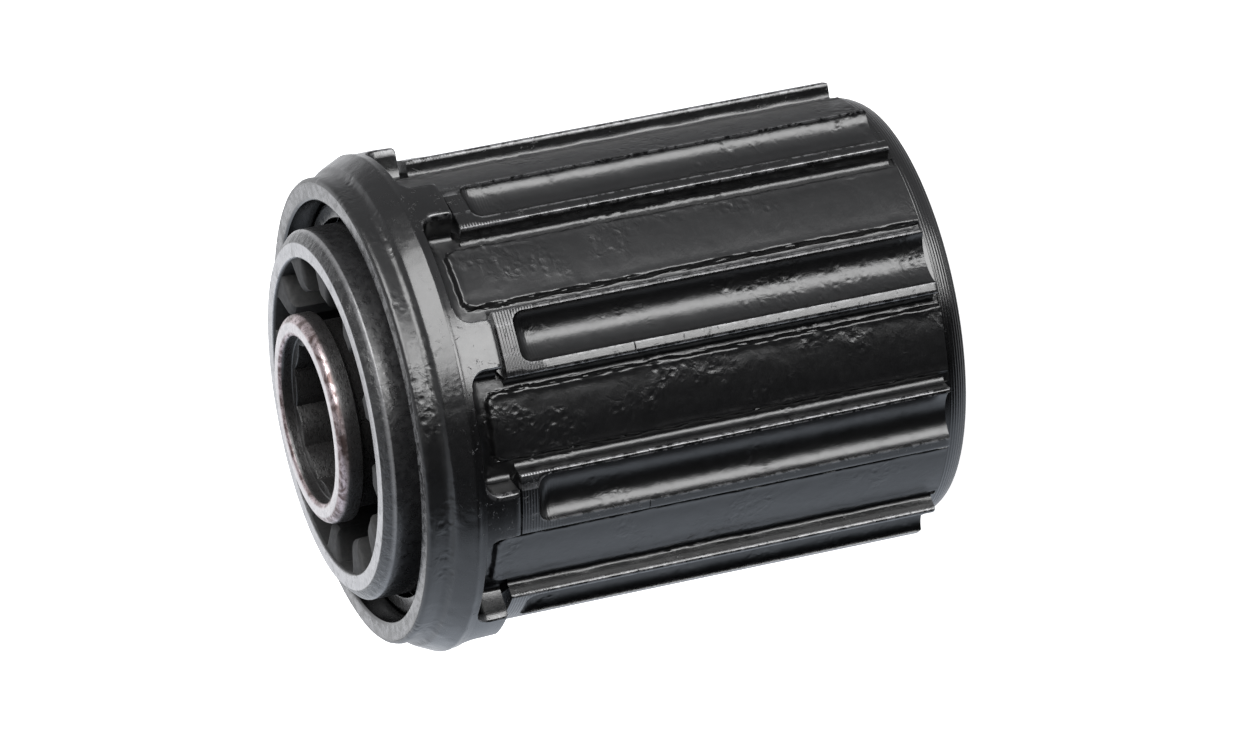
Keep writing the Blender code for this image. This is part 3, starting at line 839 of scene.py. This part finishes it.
def make_cup():
    profile = [(13.5, 3.2), (13.7, 3.4), (13.7, 7.3), (12.7, 7.6)]
    profile += arc(BALL_PITCH_R, OUTBOARD_BALLS_Z, RACE_R, 240, 180, 10)
    profile += [(11.21, 10.6), (10.3, 10.6), (10.3, 16.6), (10.1, 16.8)]
    profile += [(9.0, 16.8), (9.0, 7.9)]
    profile += arc(9.3, 4.4, 3.2, 84, 0, 14) + [(12.5, 3.2)]
    cup = turned("bearing_cup_ring", profile, 160, 0.08, 2)
    cutters = []
    for side in (1, -1):
        x0, x1 = sorted((side * 11.5, side * 14.5))
        outline = [(x0, -1.6), (x1, -1.6), (x1, 1.6), (x0, 1.6)]
        cutters.append(prism("notch", outline, 2.2, 4.3))
    subtract(cup, cutters)
    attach(cup, "core")
    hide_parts("bearing_cup")
    return cup


def make_ring(name, node, body, profile, segments=160, radius=0.06):
    obj = turned(name, profile, segments, radius, 3)
    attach(obj, body)
    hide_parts(node)
    return obj


def make_spring():
    gap = 16.0
    start = 90.0 + gap / 2
    steps, sides = 240, 14
    angles = start + (360.0 - gap) * np.arange(steps + 1) / steps
    phi = np.arange(sides) * 2 * math.pi / sides
    pts = []
    for i, angle in enumerate(angles):
        scale = 0.25
        if i in (0, steps):
            scale = 0.19
        pts.append(
            polar_points(
                12.62 + scale * np.cos(phi), np.full(sides, angle), PAWL_Z + scale * np.sin(phi)
            )
        )
    points, faces = grid_mesh(np.array(pts))
    mesh = bpy.data.meshes.new("pawl_spring_wire")
    last = steps * sides
    caps = [tuple(reversed(range(sides))), tuple(range(last, last + sides))]
    mesh.from_pydata((points * MM).tolist(), [], [tuple(f) for f in faces.tolist()] + caps)
    mesh.shade_smooth()
    mesh.set_sharp_from_angle(angle=math.radians(40))
    obj = bpy.data.objects.new("pawl_spring_wire", mesh)
    bpy.context.scene.collection.objects.link(obj)
    outward(obj)
    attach(obj, "core")
    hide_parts("pawl_spring")
    return obj


# ---------------------------------------------------------------- materials


class Nodes:
    """Small helper for building a material's node tree."""

    def __init__(self, name):
        self.material = bpy.data.materials.new(name)
        self.material.use_nodes = True
        self.tree = self.material.node_tree
        self.shader = self.tree.nodes["Principled BSDF"]
        self.place = self.add("ShaderNodeTexCoord").outputs["Object"]

    def add(self, kind, **values):
        node = self.tree.nodes.new(kind)
        for key, value in values.items():
            setattr(node, key, value)
        return node

    def link(self, source, target):
        self.tree.links.new(source, target)

    def put(self, socket, value):
        if hasattr(value, "is_output"):
            self.link(value, socket)
        else:
            socket.default_value = value

    def math(self, operation, a, b=0.0, clamp=False):
        node = self.add("ShaderNodeMath", operation=operation, use_clamp=clamp)
        self.put(node.inputs[0], a)
        self.put(node.inputs[1], b)
        return node.outputs[0]

    def noise(self, size_mm, detail=3.0, rough=0.55, vector=None, distortion=0.0):
        node = self.add("ShaderNodeTexNoise")
        self.link(vector or self.place, node.inputs["Vector"])
        node.inputs["Scale"].default_value = 1.0 / (size_mm * MM)
        node.inputs["Detail"].default_value = detail
        node.inputs["Roughness"].default_value = rough
        node.inputs["Distortion"].default_value = distortion
        return node.outputs["Fac"]

    def cells(self, size_mm):
        node = self.add("ShaderNodeTexVoronoi", feature="F1")
        self.link(self.place, node.inputs["Vector"])
        node.inputs["Scale"].default_value = 1.0 / (size_mm * MM)
        return node.outputs["Distance"]

    def ramp(self, value, low, high, out_low=0.0, out_high=1.0):
        node = self.add("ShaderNodeMapRange", interpolation_type="SMOOTHSTEP")
        self.put(node.inputs["Value"], value)
        node.inputs["From Min"].default_value = low
        node.inputs["From Max"].default_value = high
        node.inputs["To Min"].default_value = out_low
        node.inputs["To Max"].default_value = out_high
        return node.outputs["Result"]

    def mask(self, name):
        return self.add("ShaderNodeAttribute", attribute_name=name).outputs["Fac"]

    def mix(self, factor, a, b):
        node = self.add("ShaderNodeMix", data_type="RGBA")
        self.put(node.inputs[0], factor)
        self.put(node.inputs[6], a)
        self.put(node.inputs[7], b)
        return node.outputs[2]

    def stretched(self, x, y, z):
        node = self.add("ShaderNodeMapping")
        self.link(self.place, node.inputs["Vector"])
        node.inputs["Scale"].default_value = (x, y, z)
        return node.outputs["Vector"]

    def rings(self, pitch_mm):
        """Fine circumferential turning marks: a wave along the axis."""
        node = self.add("ShaderNodeTexWave", wave_type="BANDS", bands_direction="Z")
        self.link(self.place, node.inputs["Vector"])
        node.inputs["Scale"].default_value = math.pi / 10 / (pitch_mm * MM)
        node.inputs["Distortion"].default_value = 0.0
        return node.outputs["Fac"]

    def bump(self, height, distance_mm, strength=1.0, normal=None):
        node = self.add("ShaderNodeBump")
        self.put(node.inputs["Height"], height)
        node.inputs["Distance"].default_value = distance_mm * MM
        self.put(node.inputs["Strength"], strength)
        if normal is not None:
            self.link(normal, node.inputs["Normal"])
        return node.outputs["Normal"]

    def finish(self, colour, roughness, metallic=0.0, normal=None, **fixed):
        self.put(self.shader.inputs["Base Color"], colour)
        self.put(self.shader.inputs["Roughness"], roughness)
        if metallic is not None:
            self.shader.inputs["Metallic"].default_value = metallic
        if normal is not None:
            self.link(normal, self.shader.inputs["Normal"])
        for key, value in fixed.items():
            self.shader.inputs[key.replace("_", " ")].default_value = value
        return self.material


def black_coated_steel():
    """Black-coated forged steel: cast skin in the valleys, machined and showing wear elsewhere."""
    m = Nodes("black_coated_steel")
    skin, turn, wear_and_painted_shade, bare = m.mask("skin"), m.mask("turn"), m.mask("wear_and_painted_shade"), m.mask("bare")
    patch = m.ramp(m.noise(5.0, 2.0), 0.47, 0.60)
    grain = m.noise(0.30, 2.0, 0.5)
    peel = m.noise(1.15, 3.0, 0.5, distortion=1.2)
    pits = m.ramp(m.cells(0.7), 0.05, 0.5)
    skin_height = m.math("ADD", m.math("MULTIPLY", grain, 0.22), m.math("MULTIPLY", peel, 1.25))
    pitted = m.math("MULTIPLY", m.math("MULTIPLY", pits, 0.55), patch)
    skin_height = m.math("ADD", skin_height, pitted)
    strength = m.math("MULTIPLY", skin, m.math("ADD", m.math("MULTIPLY", patch, 0.66), 0.20))
    normal = m.bump(skin_height, 0.068, strength)
    rings = m.rings(0.22)
    normal = m.bump(rings, 0.024, turn, normal)
    fine = m.noise(0.10, 2.0, 0.5)
    normal = m.bump(fine, 0.006, 0.6, normal)
    scratch = m.ramp(m.noise(0.35, 4.0, 0.7, m.stretched(1.0, 1.0, 5.0)), 0.60, 0.70)
    chips = m.ramp(m.noise(0.6, 4.0, 0.65, distortion=1.2), 0.64, 0.67)
    normal = m.bump(chips, 0.03, m.math("MULTIPLY", wear_and_painted_shade, 0.8), normal)
    wear = m.math("MULTIPLY", wear_and_painted_shade, scratch)
    base = m.mix(m.noise(3.0, 2.0), (0.0032, 0.0032, 0.0034, 1), (0.0062, 0.0062, 0.0065, 1))
    colour = m.mix(m.math("MULTIPLY", wear, 0.35), base, (0.04, 0.04, 0.04, 1))
    colour = m.mix(m.math("MULTIPLY", chips, wear_and_painted_shade), colour, (0.003, 0.003, 0.003, 1))
    shine = m.math("MULTIPLY", bare, m.ramp(m.noise(0.8, 4.0, 0.65, distortion=0.8), 0.40, 0.58))
    colour = m.mix(shine, colour, (0.36, 0.36, 0.37, 1))
    rough = m.math("ADD", m.math("MULTIPLY", m.noise(0.5, 3.0), 0.14), 0.15)
    rough = m.math("ADD", rough, m.math("MULTIPLY", skin, 0.12))
    rough = m.math("ADD", rough, m.math("MULTIPLY", chips, 0.12), clamp=True)
    m.link(m.math("MULTIPLY", shine, 0.9), m.shader.inputs["Metallic"])
    return m.finish(colour, rough, None, normal, IOR=1.6)


def core_steel():
    """Black steel with a bright machined front face and a rough chamfer round it, and painted shade that
    darkens its bore and lugs to near black.
    """
    m = Nodes("core_black_steel")
    bare, skin = m.mask("bare"), m.mask("skin")
    grain = m.noise(0.22, 3.0, 0.6)
    blotch = m.noise(0.8, 4.0, 0.6, distortion=0.8)
    normal = m.bump(grain, 0.008, 0.6)
    normal = m.bump(blotch, 0.16, skin, normal)
    colour = m.mix(m.ramp(blotch, 0.35, 0.7), (0.008, 0.008, 0.0085, 1), (0.015, 0.015, 0.0155, 1))
    shine = m.math("MULTIPLY", bare, m.ramp(blotch, 0.30, 0.50, 0.55, 1.0))
    colour = m.mix(shine, colour, (0.40, 0.40, 0.41, 1))
    m.link(m.math("MULTIPLY", shine, 0.95), m.shader.inputs["Metallic"])
    rough = m.ramp(m.noise(0.45, 3.0), 0.3, 0.7, 0.24, 0.38)
    # painted shade in the bore: this mask darkens the colour to near black and raises the roughness
    rough = m.math("ADD", rough, m.math("MULTIPLY", m.mask("wear_and_painted_shade"), 0.45))
    colour = m.mix(m.math("MULTIPLY", m.mask("wear_and_painted_shade"), 0.8), colour, (0.002, 0.002, 0.002, 1))
    return m.finish(colour, rough, None, normal, IOR=1.6)


def bolt_steel():
    """Dark steel whose rounded end has gone to a bronze colour with wear."""
    m = Nodes("bronzed_bolt_steel")
    bare = m.mask("bare")
    blotch = m.noise(1.1, 4.0, 0.6, distortion=0.8)
    streak = m.noise(0.35, 3.0, 0.6, m.stretched(1.0, 1.0, 3.0))
    tone = m.mix(m.ramp(blotch, 0.38, 0.60), (0.11, 0.075, 0.07, 1), (0.42, 0.35, 0.36, 1))
    tone = m.mix(m.ramp(streak, 0.54, 0.70, 0.0, 0.75), tone, (0.055, 0.045, 0.045, 1))
    tone = m.mix(m.math("MULTIPLY", m.mask("wear_and_painted_shade"), 0.75), tone, (0.62, 0.61, 0.62, 1))
    dark = m.mix(blotch, (0.006, 0.006, 0.006, 1), (0.014, 0.013, 0.013, 1))
    colour = m.mix(bare, dark, tone)
    m.link(m.math("MULTIPLY", bare, 0.92), m.shader.inputs["Metallic"])
    rough = m.ramp(streak, 0.3, 0.7, 0.24, 0.42)
    normal = m.bump(streak, 0.02, 0.6)
    normal = m.bump(m.noise(0.12, 2.0), 0.006, 0.6, normal)
    return m.finish(colour, rough, None, normal, IOR=1.6)


def plain_steel(name, colour, rough, size, height, rings=None):
    m = Nodes(name)
    fine = m.noise(size, 3.0, 0.6)
    dark = tuple(c * 0.72 for c in colour) + (1,)
    tone = m.mix(m.ramp(m.noise(size * 6, 3.0), 0.35, 0.7), dark, tuple(colour) + (1,))
    normal = m.bump(fine, height, 0.6)
    if rings:
        normal = m.bump(m.rings(rings), height * 0.6, 0.5, normal)
    r = m.ramp(m.noise(size * 3, 3.0), 0.3, 0.7, rough * 0.8, rough * 1.3)
    return m.finish(tone, r, 1.0, normal)


def rubber():
    m = Nodes("black_rubber_seal")
    fine = m.noise(0.12, 3.0, 0.6)
    dust = m.noise(0.8, 3.0, 0.6)
    colour = m.mix(m.ramp(dust, 0.4, 0.75), (0.012, 0.012, 0.012, 1), (0.03, 0.03, 0.029, 1))
    normal = m.bump(fine, 0.01, 0.5)
    rough = m.ramp(dust, 0.35, 0.7, 0.13, 0.34)
    return m.finish(colour, rough, 0.0, normal, IOR=1.7)


def dress(obj, material):
    if obj.data.materials:
        for index in range(len(obj.material_slots)):
            obj.material_slots[index].link = "OBJECT"
            obj.material_slots[index].material = material
    else:
        obj.data.materials.append(material)


# ---------------------------------------------------------------- build

shell = make_shell()
core = make_core()
bolt = make_bolt()
balls = [
    make_balls("outboard_balls_row", OUTBOARD_BALLS_Z, "outboard_ball_row"),
    make_balls("inboard_balls_row", INBOARD_BALLS_Z, "inboard_ball_row"),
]
cup = make_cup()
spring = make_spring()

s = SHOULDER
inboard_seal = make_ring(
    "inboard_seal_ring", "inboard_seal", "driver",
    [(14.15, s + 5.1), (15.2, s + 4.9), (15.55, s + 4.7), (15.55, s + 3.8), (14.9, s + 3.7),
     (14.7, s + 4.3), (14.15, s + 4.5)], 192, 0.1,
)
outboard_seal = make_ring(
    "outboard_seal_ring", "outboard_seal", "core",
    [(14.0, 6.9), (14.6, 6.8), (14.6, 6.3), (14.3, 5.2), (14.0, 5.2)], 160, 0.08,
)
dust_cap = make_ring(
    "outboard_dust_cap_ring", "outboard_dust_cap", "core",
    [(9.4, 2.3), (9.6, 1.9), (13.0, 1.9), (13.4, 2.2), (13.4, 2.85), (12.2, 2.85), (12.2, 4.0),
     (11.7, 4.0), (11.7, 2.7), (9.4, 2.7)], 192, 0.12,
)
washer = make_ring(
    "bolt_washer_ring", "bolt_washer", "washer",
    [(8.05, 22.4), (8.6, 22.4), (8.6, 21.9), (8.05, 21.9)], 128, 0.06,
)
shims = []
level = 10.85
for number, thickness in enumerate((0.25, 0.25, 0.3), start=1):
    shims.append(
        make_ring(
            f"shim_{number}_ring", f"shim_{number}", "core",
            [(10.6, level + thickness), (11.9, level + thickness), (11.9, level), (10.6, level)],
            128, 0.03,
        )
    )
    level += thickness + 0.27

black = black_coated_steel()
core_black = core_steel()
ground = plain_steel("ground_bearing_steel", (0.42, 0.42, 0.43), 0.22, 0.08, 0.003, 0.1)
dress(shell, black)
dress(core, core_black)
dress(bolt, bolt_steel())
ball_steel = plain_steel("polished_ball_steel", (0.62, 0.62, 0.63), 0.09, 0.15, 0.001)
for row in balls:
    dress(row, ball_steel)
dress(cup, ground)
dress(washer, ground)
shim_steel = plain_steel("shim_spring_steel", (0.5, 0.5, 0.5), 0.25, 0.1, 0.003)
for shim in shims:
    dress(shim, shim_steel)
dress(spring, plain_steel("spring_wire_steel", (0.45, 0.44, 0.42), 0.24, 0.08, 0.003))
seal_rubber = rubber()
dress(inboard_seal, seal_rubber)
dress(outboard_seal, seal_rubber)
dress(dust_cap, core_black)
pawl_steel = plain_steel("pawl_hardened_steel", (0.3, 0.3, 0.31), 0.28, 0.1, 0.004)
for node in ("pawl_1", "pawl_2"):
    dress(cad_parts[node], pawl_steel)


# ---------------------------------------------------------------- camera, light and backdrop

scene = bpy.context.scene
scene.view_settings.view_transform = "Standard"
scene.view_settings.look = "None"

camera_data = bpy.data.cameras.new("camera")
camera_data.lens = 202.77
camera_data.sensor_width = 36.0
camera_data.sensor_fit = "HORIZONTAL"
camera_data.clip_start = 0.02
camera_data.clip_end = 20.0
camera = bpy.data.objects.new("camera", camera_data)
scene.collection.objects.link(camera)
camera.matrix_world = Matrix(
    (
        (-0.19517, 0.98077, 0.0, -0.000646),
        (-0.29964, -0.05963, -0.95219, -0.49068),
        (-0.93388, -0.18584, 0.30551, 0.17896),
        (0.0, 0.0, 0.0, 1.0),
    )
)
scene.camera = camera

floor_mesh = bpy.data.meshes.new("floor")
side = 6.0
floor_mesh.from_pydata(
    [(-side, -side, -0.0002), (side, -side, -0.0002), (side, side, -0.0002), (-side, side, -0.0002)],
    [],
    [(0, 1, 2, 3)],
)
floor = bpy.data.objects.new("floor", floor_mesh)
scene.collection.objects.link(floor)
paper = bpy.data.materials.new("white_paper")
paper.use_nodes = True
paper_shader = paper.node_tree.nodes["Principled BSDF"]
paper_shader.inputs["Base Color"].default_value = (0.8, 0.8, 0.8, 1)
paper_shader.inputs["Roughness"].default_value = 1.0
paper_shader.inputs["Emission Color"].default_value = (1, 1, 1, 1)
paper_shader.inputs["Emission Strength"].default_value = 1.0
floor_mesh.materials.append(paper)
floor.visible_glossy = False
floor.visible_diffuse = False

world = bpy.data.worlds.new("studio")
scene.world = world
world.use_nodes = True
tree = world.node_tree
background = tree.nodes["Background"]
coord = tree.nodes.new("ShaderNodeTexCoord")


def level_vector():
    """The looking direction laid flat, so that only its compass bearing is left."""
    flat = tree.nodes.new("ShaderNodeVectorMath")
    flat.operation = "MULTIPLY"
    tree.links.new(coord.outputs["Generated"], flat.inputs[0])
    flat.inputs[1].default_value = (1, 1, 0)
    unit = tree.nodes.new("ShaderNodeVectorMath")
    unit.operation = "NORMALIZE"
    tree.links.new(flat.outputs["Vector"], unit.inputs[0])
    return unit.outputs["Vector"]


def facing(direction, vector=None):
    node = tree.nodes.new("ShaderNodeVectorMath")
    node.operation = "DOT_PRODUCT"
    tree.links.new(vector or coord.outputs["Generated"], node.inputs[0])
    node.inputs[1].default_value = Vector(direction).normalized()
    return node.outputs["Value"]


def fade(value, low, high, out_low, out_high):
    node = tree.nodes.new("ShaderNodeMapRange")
    node.interpolation_type = "SMOOTHSTEP"
    tree.links.new(value, node.inputs["Value"])
    for key, number in zip(("From Min", "From Max", "To Min", "To Max"), (low, high, out_low, out_high)):
        node.inputs[key].default_value = number
    return node.outputs["Result"]


def blend_float(factor, a, b):
    node = tree.nodes.new("ShaderNodeMix")
    node.data_type = "FLOAT"
    for socket, value in ((node.inputs[0], factor), (node.inputs[2], a), (node.inputs[3], b)):
        if hasattr(value, "is_output"):
            tree.links.new(value, socket)
        else:
            socket.default_value = value
    return node.outputs[0]


# a white table at -X, a dim side at +X, a bright wall at +Y and a dark gap beside the camera
around = fade(facing((-1.0, 0.0, 0.0)), 0.2, 0.75, 0.66, 1.12)
around = blend_float(fade(facing((0.96, 0.27, 0.0), level_vector()), 0.62, 0.92, 0.0, 1.0), around, 0.33)
around = blend_float(fade(facing((0.0, 0.95, 0.31)), 0.6, 0.93, 0.0, 1.0), around, 1.25)
dark = fade(facing((-0.588, -0.809, 0.0), level_vector()), 0.72, 0.92, 0.0, 1.0)
around = blend_float(dark, around, 0.01)
path = tree.nodes.new("ShaderNodeLightPath")
level = blend_float(path.outputs["Is Camera Ray"], around, 1.0)
tree.links.new(level, background.inputs["Strength"])
tint = tree.nodes.new("ShaderNodeMix")
tint.data_type = "RGBA"
tree.links.new(fade(facing((-1.0, 0.0, 0.0)), 0.0, 0.7, 0.0, 1.0), tint.inputs[0])
tint.inputs[6].default_value = (0.98, 0.99, 1.02, 1)
tint.inputs[7].default_value = (0.90, 0.98, 1.10, 1)
plain = tree.nodes.new("ShaderNodeMix")
plain.data_type = "RGBA"
tree.links.new(path.outputs["Is Camera Ray"], plain.inputs[0])
tree.links.new(tint.outputs[2], plain.inputs[6])
plain.inputs[7].default_value = (1, 1, 1, 1)
tree.links.new(plain.outputs[2], background.inputs["Color"])


def softbox(name, direction, along, distance, length, width, power, colour=(1, 1, 1)):
    """A soft rectangular light that faces the object, with its long side along a direction."""
    light = bpy.data.lights.new(name, "AREA")
    light.shape = "RECTANGLE"
    light.size, light.size_y = length, width
    light.energy = power
    light.color = colour
    obj = bpy.data.objects.new(name, light)
    scene.collection.objects.link(obj)
    back = Vector(direction).normalized()
    side_axis = Vector(along)
    side_axis = (side_axis - back * side_axis.dot(back)).normalized()
    up = back.cross(side_axis)
    place = Vector((0, 0, 0.022)) + back * distance
    obj.matrix_world = Matrix(
        (
            (side_axis.x, up.x, back.x, place.x),
            (side_axis.y, up.y, back.y, place.y),
            (side_axis.z, up.z, back.z, place.z),
            (0, 0, 0, 1),
        )
    )
    obj.visible_camera = False
    return obj


softbox("front_low", (0.27, -0.90, -0.31), (0, 0, 1), 0.6, 0.45, 0.32, 4.2)
softbox("front_high", (0.565, -0.65, 0.47), (0, 0, 1), 0.6, 0.50, 0.60, 7.0)
